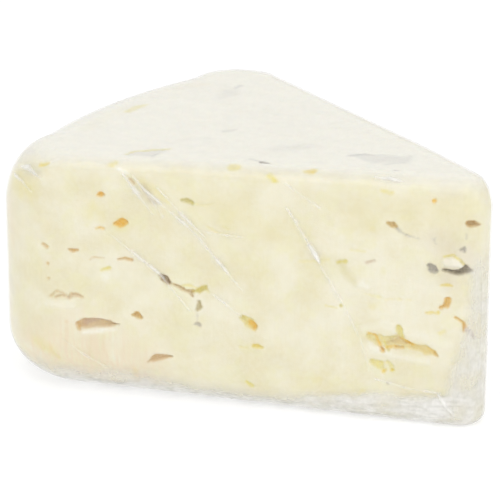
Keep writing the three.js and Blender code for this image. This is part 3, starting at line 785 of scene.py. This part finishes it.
def crumple(patch):  # lifts creases and wrinkles, and says where the film turns milky and where glints and sheen are painted
    flat, height = patch["flat"], patch["points"][:, 2]
    lift = film["sag"] * clouds(patch["points"], 11, 61)
    hazeAndGlint = np.full(len(flat), film["veil"]) * (1 + 0.8 * clouds(patch["points"], 14, 62))
    if patch["name"] == "side":
        band, fromTip = bandHeight(flat)
        rough = smooth(62, 24, fromTip)
        loose = smooth(3.2 - 2 * rough, -2.4 + rough, height - band - 0.8 * clouds(patch["points"], 5, 63))
        streaks = ridged(flat[:, 0] / 13, flat[:, 1] / 1.5, 64)
        lift += loose * rough * (film["streakLift"] * streaks - 0.02)
        hazeAndGlint += loose * (film["hemHaze"] + film["streakHaze"] * rough * streaks)
        hazeAndGlint += film["footHaze"] * (1 - rough) * smooth(4.5, 1, height)
        limit = -1 + 5 * smooth(34, 10, height)
        folded = smooth(limit, limit - 4, fromTip) * smooth(50, 38, height) * (1 - loose)
        upright = ridged(flat[:, 0] / 1.8, flat[:, 1] / 16, 65)
        lift += folded * 0.015 * upright
        hazeAndGlint += folded * (film["tipHaze"] + 0.08 * upright)
        # painted sheen along the rounded top edge
        rounded = smooth(2.15, 2.6, patch["step"]) * smooth(3.0, 2.7, patch["step"])
        hazeAndGlint += film["topEdgeSheen"] * rounded * (0.8 + 0.3 * ridged(flat[:, 0] / 14, flat[:, 1] / 4, 66))
        for number, each in enumerate(filmCreases):
            path = each["path"]
            low, high = path[:, :2].min(axis=0) - 5, path[:, :2].max(axis=0) + 5
            near = np.flatnonzero(((flat > low) & (flat < high)).all(axis=1))
            distance, _, width = alongPath(flat[near], path)
            distance = np.abs(distance + 0.16 * clouds(patch["points"][near], 4, 67 + number))
            crest = np.exp(-(distance / (width * 0.7)) ** 2)
            slack = np.exp(-(distance / (width * 2.2 + 0.6)) ** 2) * width
            lift[near] += each["rise"] * crest + 0.1 * each["rise"] * slack
            broken = 0.3 + 0.7 * smooth(-0.35, 0.4, clouds(patch["points"][near], 3.4, 80 + number))
            # white laid on crests: partly stress whitening, partly painted glints
            white = film["crestHazeAndGlint"] * each["whiteAndGlint"] * crest + film["slackHaze"] * slack
            hazeAndGlint[near] = np.maximum(hazeAndGlint[near], white * broken)
    if patch["name"] == "top":
        hazeAndGlint += 0.03 + 0.02 * ridged(*(flat / (26, 9)).T, 68)
    if patch["name"] == "base":
        turn = np.arctan2(flat[:, 1], flat[:, 0])
        pleats = ridged(turn * film["gathers"] / math.tau * 2, np.hypot(*flat.T) / 26, 69)
        lift += film["pleatLift"] * pleats - 0.06
        hazeAndGlint += 0.15 + 0.35 * pleats
    patch["hazeAndGlint"] = np.clip(hazeAndGlint, 0, 1)
    patch["points"] = patch["points"] + patch["normals"] * lift[:, None]
    patch["points"][:, 2] = np.maximum(patch["points"][:, 2], film["thickness"] + 0.03)


def nearCrease(points):
    band, _ = bandHeight(points)
    nearest = np.where(points[:, 1] < band + 8, 1.3, 50.0)
    for each in filmCreases:
        distance, _, width = alongPath(points, each["path"])
        nearest = np.minimum(nearest, distance - width - 0.3)
    return nearest


def foldTree():  # narrow doubled folds that run along the creases, thinning to nothing at both ends
    tree = bpy.data.node_groups.new("filmFolds", "GeometryNodeTree")
    sockets = tree.interface
    for name, kind, value in (
        ("Paths", "NodeSocketGeometry", None), ("Step", "NodeSocketFloat", film["foldStep"] * mm),
        ("Half Width", "NodeSocketFloat", film["foldHalfWidth"] * mm),
        ("Wander", "NodeSocketFloat", film["foldWander"] * mm),
        ("Seed", "NodeSocketFloat", film["foldSeed"]), ("Film", "NodeSocketMaterial", None),
    ):
        made = sockets.new_socket(name, in_out="INPUT", socket_type=kind)
        if value is not None:
            made.default_value = value
    sockets.new_socket("Folds", in_out="OUTPUT", socket_type="NodeSocketGeometry")

    def add(kind, **settings):
        made = tree.nodes.new(kind)
        for key, value in settings.items():
            setattr(made, key, value)
        return made

    given, result = add("NodeGroupInput"), add("NodeGroupOutput")
    curve = add("GeometryNodeMeshToCurve")
    resample = add("GeometryNodeResampleCurve", mode="LENGTH")
    noise = add("ShaderNodeTexNoise", noise_dimensions="4D")
    noise.inputs["Scale"].default_value = 1 / (6 * mm)
    centred = add("ShaderNodeVectorMath", operation="SUBTRACT")
    centred.inputs[1].default_value = (0.5, 0.5, 0.5)
    scaled = add("ShaderNodeVectorMath", operation="SCALE")
    moved = add("GeometryNodeSetPosition")
    breadth = add("GeometryNodeInputNamedAttribute", data_type="FLOAT")
    breadth.inputs["Name"].default_value = "breadth"
    radius = add("GeometryNodeSetCurveRadius")
    profile = add("GeometryNodeCurvePrimitiveCircle", mode="RADIUS")
    profile.inputs["Resolution"].default_value = 8
    tube = add("GeometryNodeCurveToMesh")
    tube.inputs["Fill Caps"].default_value = True
    shade = add("GeometryNodeSetShadeSmooth")
    realize, paint = add("GeometryNodeRealizeInstances"), add("GeometryNodeSetMaterial")
    for start, output, end, target in (
        (given, "Paths", curve, "Mesh"), (curve, "Curve", resample, "Curve"),
        (given, "Step", resample, "Length"), (given, "Seed", noise, "W"),
        (noise, "Color", centred, 0), (centred, 0, scaled, 0), (given, "Wander", scaled, "Scale"),
        (resample, "Curve", moved, "Geometry"), (scaled, 0, moved, "Offset"),
        (moved, "Geometry", radius, "Curve"), (breadth, "Attribute", radius, "Radius"),
        (radius, "Curve", tube, "Curve"), (given, "Half Width", profile, "Radius"),
        (profile, "Curve", tube, "Profile Curve"), (tube, "Mesh", shade, 0), (shade, 0, realize, 0),
        (realize, 0, paint, "Geometry"), (given, "Film", paint, "Material"), (paint, 0, result, "Folds"),
    ):
        tree.links.new(start.outputs[output], end.inputs[target])
    if "Scale" in tube.inputs:
        tree.links.new(breadth.outputs["Attribute"], tube.inputs["Scale"])
    return tree


def applied(piece):  # the piece with its modifiers made plain mesh
    graph = bpy.context.evaluated_depsgraph_get()
    data = bpy.data.meshes.new_from_object(piece.evaluated_get(graph), depsgraph=graph)
    piece.modifiers.clear()
    piece.data = data
    return piece


def makeFolds(material):
    points, edges, breadth = [], [], []
    for each in filmCreases:
        path = each["path"]
        count = film["foldPoints"]
        t = np.linspace(0, 1, count)
        stops = np.linspace(0, 1, len(path))
        flat = np.column_stack([np.interp(t, stops, path[:, k]) for k in range(3)])
        place, normal = skinAt(flat[:, 0], stepOf(flat[:, 0], flat[:, 1]), film["depth"])
        place = place + normal * (each["rise"] * film["foldLift"])
        start = len(points)
        points += (place * mm).tolist()
        edges += [(start + n, start + n + 1) for n in range(count - 1)]
        breadth += (flat[:, 2] * np.sqrt(np.clip(4 * t * (1 - t), 0.002, 1)) * each["whiteAndGlint"]).tolist()
    data = bpy.data.meshes.new("folds")
    data.from_pydata(points, edges, [])
    data.attributes.new("breadth", "FLOAT", "POINT").data.foreach_set("value", breadth)
    piece = bpy.data.objects.new("folds", data)
    bpy.context.scene.collection.objects.link(piece)
    fold = piece.modifiers.new("filmFolds", "NODES")
    fold.node_group = foldTree()
    for socket in fold.node_group.interface.items_tree:
        if socket.name == "Film":
            fold[socket.identifier] = material
    return applied(piece)


def makeFilm(material):
    sizes = film["cells"]
    side, along = onSide(nearCrease, sizes, cheese["edge"], film["depth"], 11)
    top = onCap("top", along, plain, (film["topCells"],), film["depth"], 12)
    base = onCap("base", along, plain, (film["baseCells"],), film["depth"], 13, hole=film["bareShare"])
    for name, patch in (("side", side), ("top", top), ("base", base)):
        patch["name"] = name
        crumple(patch)
    piece = meshFrom("stretch_film", [side, top, base], ("hazeAndGlint",))
    piece.data.materials.append(material)
    shell = piece.modifiers.new("shell", "SOLIDIFY")
    shell.thickness = film["thickness"] * mm
    shell.offset = -1
    applied(piece)
    folds = makeFolds(material)
    hazeAndGlint = folds.data.attributes.new("hazeAndGlint", "FLOAT", "POINT")
    hazeAndGlint.data.foreach_set("value", np.full(len(folds.data.vertices), film["foldHaze"], np.float32))
    joined = bmesh.new()
    joined.from_mesh(piece.data)
    joined.from_mesh(folds.data)
    joined.to_mesh(piece.data)
    joined.free()
    bpy.data.objects.remove(folds)
    print("film:", len(piece.data.polygons), "faces")
    return piece


def nodesOf(name):
    material = bpy.data.materials.new(name)
    material.use_nodes = True
    material.node_tree.nodes.clear()
    return material, material.node_tree


def node(tree, kind, **settings):
    made = tree.nodes.new("ShaderNode" + kind)
    for key, value in settings.items():
        setattr(made, key, value)
    return made


def feed(tree, target, value):
    if isinstance(value, bpy.types.NodeSocket):
        tree.links.new(value, target)
    else:
        target.default_value = value


def mix(tree, factor, a, b):
    made = node(tree, "Mix", data_type="RGBA")
    for socket, value in ((made.inputs[0], factor), (made.inputs[6], a), (made.inputs[7], b)):
        feed(tree, socket, (*value, 1) if isinstance(value, tuple) else value)
    return made.outputs[2]


def maths(tree, operation, *values):
    made = node(tree, "Math", operation=operation)
    for socket, value in zip(made.inputs, values):
        feed(tree, socket, value)
    return made.outputs[0]


def spread(tree, value, low, high):  # 0 at low, 1 at high
    made = node(tree, "MapRange", clamp=True)
    for name, given in (("Value", value), ("From Min", low), ("From Max", high)):
        feed(tree, made.inputs[name], given)
    return made.outputs[0]


def noiseOf(tree, size, stretch=(1, 1, 1), detail=3, rough=0.55):  # size in mm, 0 to 1
    where = node(tree, "Mapping")
    tree.links.new(node(tree, "TexCoord").outputs["Object"], where.inputs["Vector"])
    where.inputs["Scale"].default_value = tuple(1 / (size * mm * k) for k in stretch)
    made = node(tree, "TexNoise")
    for name, value in (("Scale", 1), ("Detail", detail), ("Roughness", rough)):
        made.inputs[name].default_value = value
    tree.links.new(where.outputs[0], made.inputs["Vector"])
    return made.outputs["Fac"]


def mottleGroup():  # cloudy patches and finer flecks: the cheese takes both, the film the flecks
    tree = bpy.data.node_groups.new("mottle", "ShaderNodeTree")
    for name, value in (("Size", 8), ("Fleck Size", 1.2), ("Contrast", 4)):
        tree.interface.new_socket(name, in_out="INPUT", socket_type="NodeSocketFloat").default_value = value
    for name in ("Patches", "Flecks"):
        tree.interface.new_socket(name, in_out="OUTPUT", socket_type="NodeSocketFloat")
    given, result = tree.nodes.new("NodeGroupInput"), tree.nodes.new("NodeGroupOutput")
    place = node(tree, "TexCoord").outputs["Object"]
    for size, name, detail in (("Size", "Patches", 4), ("Fleck Size", "Flecks", 2)):
        scale = maths(tree, "DIVIDE", 1 / mm, given.outputs[size])
        made = node(tree, "TexNoise")
        made.inputs["Detail"].default_value = detail
        tree.links.new(place, made.inputs["Vector"])
        tree.links.new(scale, made.inputs["Scale"])
        centred = maths(tree, "SUBTRACT", made.outputs["Fac"], 0.5)
        sharp = node(tree, "Math", operation="MULTIPLY_ADD", use_clamp=True)
        for socket, value in zip(sharp.inputs, (centred, given.outputs["Contrast"], 0.5)):
            feed(tree, socket, value)
        tree.links.new(sharp.outputs[0], result.inputs[name])
    return tree


def mottled(tree, group, size, fleckSize, contrast):
    made = node(tree, "Group", node_tree=group)
    for name, value in (("Size", size), ("Fleck Size", fleckSize), ("Contrast", contrast)):
        made.inputs[name].default_value = value
    return made.outputs["Patches"], made.outputs["Flecks"]


pasteColours = {
    # of these, the top's colour is painted paler, standing in for light falling from above
    "cream": (0.79, 0.73, 0.5), "pale": (0.86, 0.82, 0.66), "upper": (0.9, 0.88, 0.79),
    "green": (0.81, 0.78, 0.46), "rind": (0.72, 0.62, 0.43), "bloom": (0.84, 0.8, 0.7),
    # the first colour on this line, for the holes, is painted shade and warm bounce light
    "inside": (0.8, 0.7, 0.42), "peach": (0.83, 0.71, 0.53), "straw": (0.79, 0.69, 0.13),
    "tan": (0.7, 0.44, 0.13), "amber": (0.88, 0.53, 0), "blush": (0.58, 0.4, 0.29),
    "umber": (0.27, 0.17, 0.05), "mould": (0.17, 0.135, 0.09), "slate": (0.44, 0.43, 0.44),
    # white of crumbs and flecks, also used for painted highlights and a painted glint
    "chalk": (0.92, 0.9, 0.82),
}
pasteGrain = {  # sizes in mm, and how many times longer than wide a streak is
    "patch": 9, "fleck": 1.1, "contrast": 3.8, "stain": 5.5, "crumb": 0.5, "stainContrast": 5,
    "streak": 0.9, "streakLength": 13, "bump": 0.12, "bumpStrength": 0.5,
}


def makePaste(group):
    c, grains = pasteColours, pasteGrain
    material, tree = nodesOf("paste")
    shader, out = node(tree, "BsdfPrincipled"), node(tree, "OutputMaterial")
    tree.links.new(shader.outputs[0], out.inputs[0])
    laid = {name: node(tree, "Attribute", attribute_name=name).outputs["Fac"]
            for name in tints + ("hollowShade", "upper", "rind")}
    patches, flecks = mottled(tree, group, grains["patch"], grains["fleck"], grains["contrast"])
    green, crumbs = mottled(tree, group, grains["stain"], grains["crumb"], grains["stainContrast"])
    streaks = noiseOf(tree, grains["streak"], stretch=(1, 1, grains["streakLength"]), detail=2)
    colour = mix(tree, maths(tree, "MULTIPLY", patches, 0.85), c["cream"], c["pale"])
    colour = mix(tree, maths(tree, "MULTIPLY", spread(tree, green, 0.55, 1), 0.3), colour, c["green"])
    colour = mix(tree, maths(tree, "MULTIPLY", flecks, 0.16), colour, c["chalk"])
    # the top is painted paler and whiter, standing in for light falling from above
    above = mix(tree, maths(tree, "MULTIPLY", patches, 0.25), c["upper"], c["chalk"])
    colour = mix(tree, laid["upper"], colour, above)
    wheel = mix(tree, spread(tree, green, -0.4, 1.3), c["rind"], c["bloom"])
    colour = mix(tree, laid["rind"], colour, wheel)
    # painted shade and warm bounce light deep in the holes
    colour = mix(tree, maths(tree, "MULTIPLY", laid["hollowShade"], 0.5), colour, c["inside"])
    uneven = spread(tree, crumbs, -1.5, 0.7)
    drawn = spread(tree, streaks, 0.32, 0.6)  # streaks that the knife drew down the cut
    for name in tints:
        share = maths(tree, "MULTIPLY", laid[name], drawn if name == "peach" else uneven)
        colour = mix(tree, share, colour, c[name])
    tree.links.new(colour, shader.inputs["Base Color"])
    matt = maths(tree, "MULTIPLY_ADD", flecks, 0.2, 0.42)
    tree.links.new(matt, shader.inputs["Roughness"])
    shader.inputs["Subsurface Weight"].default_value = 0.1
    shader.inputs["Subsurface Radius"].default_value = (1.0, 0.7, 0.35)
    shader.inputs["Subsurface Scale"].default_value = 1.5 * mm
    relief = maths(tree, "ADD", maths(tree, "MULTIPLY", noiseOf(tree, 0.5, detail=3), 0.5),
                   maths(tree, "MULTIPLY", streaks, 0.6))
    relief = maths(tree, "MULTIPLY", relief, maths(tree, "MULTIPLY_ADD", laid["upper"], -0.8, 1))
    bump = node(tree, "Bump")
    bump.inputs["Distance"].default_value = grains["bump"] * mm
    bump.inputs["Strength"].default_value = grains["bumpStrength"]
    tree.links.new(relief, bump.inputs["Height"])
    tree.links.new(bump.outputs[0], shader.inputs["Normal"])
    return material


filmLook = {"index": 1.36, "gloss": 0.14, "milkGloss": 0.3, "most": 0.92, "bump": 0.1, "bumpStrength": 0.1,
            "clear": (0.985, 0.985, 0.98, 1), "milk": (0.89, 0.88, 0.84), "whiteMilk": (0.93, 0.92, 0.89)}


def makeClingFilm(group):
    material, tree = nodesOf("clingFilm")
    clear, gloss = node(tree, "BsdfTransparent"), node(tree, "BsdfGlossy")
    milky, edge = node(tree, "BsdfPrincipled"), node(tree, "Fresnel")
    edge.inputs["IOR"].default_value = filmLook["index"]
    glassy, whole, out = node(tree, "MixShader"), node(tree, "MixShader"), node(tree, "OutputMaterial")
    _, flecks = mottled(tree, group, 6, 0.7, 4)
    patches = spread(tree, noiseOf(tree, 6, detail=4, rough=0.5), 0.375, 0.625)
    creased = noiseOf(tree, 1.6, stretch=(1, 1, 4), detail=4, rough=0.6)
    bump = node(tree, "Bump")
    bump.inputs["Distance"].default_value = filmLook["bump"] * mm
    bump.inputs["Strength"].default_value = filmLook["bumpStrength"]
    tree.links.new(creased, bump.inputs["Height"])
    for shader in (gloss, milky, edge):
        tree.links.new(bump.outputs[0], shader.inputs["Normal"])
    clear.inputs["Color"].default_value = filmLook["clear"]
    gloss.inputs["Color"].default_value = (1, 1, 1, 1)
    gloss.inputs["Roughness"].default_value = filmLook["gloss"]
    milk = mix(tree, flecks, filmLook["milk"], filmLook["whiteMilk"])
    tree.links.new(milk, milky.inputs["Base Color"])
    milky.inputs["Roughness"].default_value = filmLook["milkGloss"]
    # milky where the film gathers, plus painted glints on crease crests and painted sheen on the top edge
    hazeAndGlint = node(tree, "Attribute", attribute_name="hazeAndGlint").outputs["Fac"]
    broken = maths(tree, "MULTIPLY", hazeAndGlint, maths(tree, "MULTIPLY_ADD", patches, 0.7, 0.65))
    share = node(tree, "Clamp")
    tree.links.new(broken, share.inputs["Value"])
    share.inputs["Max"].default_value = filmLook["most"]
    outside = maths(tree, "SUBTRACT", 1, node(tree, "NewGeometry").outputs["Backfacing"])
    mirrored = maths(tree, "MULTIPLY", edge.outputs[0], outside)  # no mirror from within
    for shader, parts in ((glassy, (mirrored, clear.outputs[0], gloss.outputs[0])),
                          (whole, (share.outputs[0], glassy.outputs[0], milky.outputs[0]))):
        for socket, part in zip(shader.inputs, parts):
            tree.links.new(part, socket)
    tree.links.new(whole.outputs[0], out.inputs[0])
    return material


mottle = mottleGroup()
paste.data.materials.append(makePaste(mottle))
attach(paste, "root")
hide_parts("cheese")

wrap = makeFilm(makeClingFilm(mottle))
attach(wrap, "root")
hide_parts("film_wrap")

studio = {
    "sky": 0.93, "floor": 0.55, "glow": 0.5, "floorSize": 3.0,        # the floor is a lit table
    # name, place, size, power
    "lamps": (("key", (0.35, -0.8, 1.25), 1.0, 4.2), ("side", (1.2, -0.1, 0.5), 0.4, 0.9)),
}


def makeStudio():
    world = bpy.data.worlds.new("studio")
    bpy.context.scene.world = world
    world.use_nodes = True
    sky = world.node_tree.nodes["Background"]
    sky.inputs[0].default_value = (1, 1, 1, 1)
    sky.inputs[1].default_value = studio["sky"]
    data = bpy.data.meshes.new("floor")
    s = studio["floorSize"]
    data.from_pydata([(-s, -s, 0), (s, -s, 0), (s, s, 0), (-s, s, 0)], [], [(0, 1, 2, 3)])
    floor = bpy.data.objects.new("floor", data)
    bpy.context.scene.collection.objects.link(floor)
    material, tree = nodesOf("floorPaint")
    shader = node(tree, "BsdfPrincipled")
    shader.inputs["Base Color"].default_value = (*[studio["floor"]] * 3, 1)
    shader.inputs["Roughness"].default_value = 0.8
    shader.inputs["Emission Color"].default_value = (1, 1, 1, 1)
    shader.inputs["Emission Strength"].default_value = studio["glow"]
    tree.links.new(shader.outputs[0], node(tree, "OutputMaterial").inputs[0])
    data.materials.append(material)
    for name, place, size, power in studio["lamps"]:
        data = bpy.data.lights.new(name, "AREA")
        data.size, data.energy = size, power
        lamp = bpy.data.objects.new(name, data)
        lamp.location = place
        lamp.rotation_euler = (Vector((0, 0, 0.03)) - Vector(place)).to_track_quat("-Z", "Y").to_euler()
        bpy.context.scene.collection.objects.link(lamp)
    bpy.context.scene.view_settings.view_transform = "Standard"
    print("studio lit")


makeStudio()
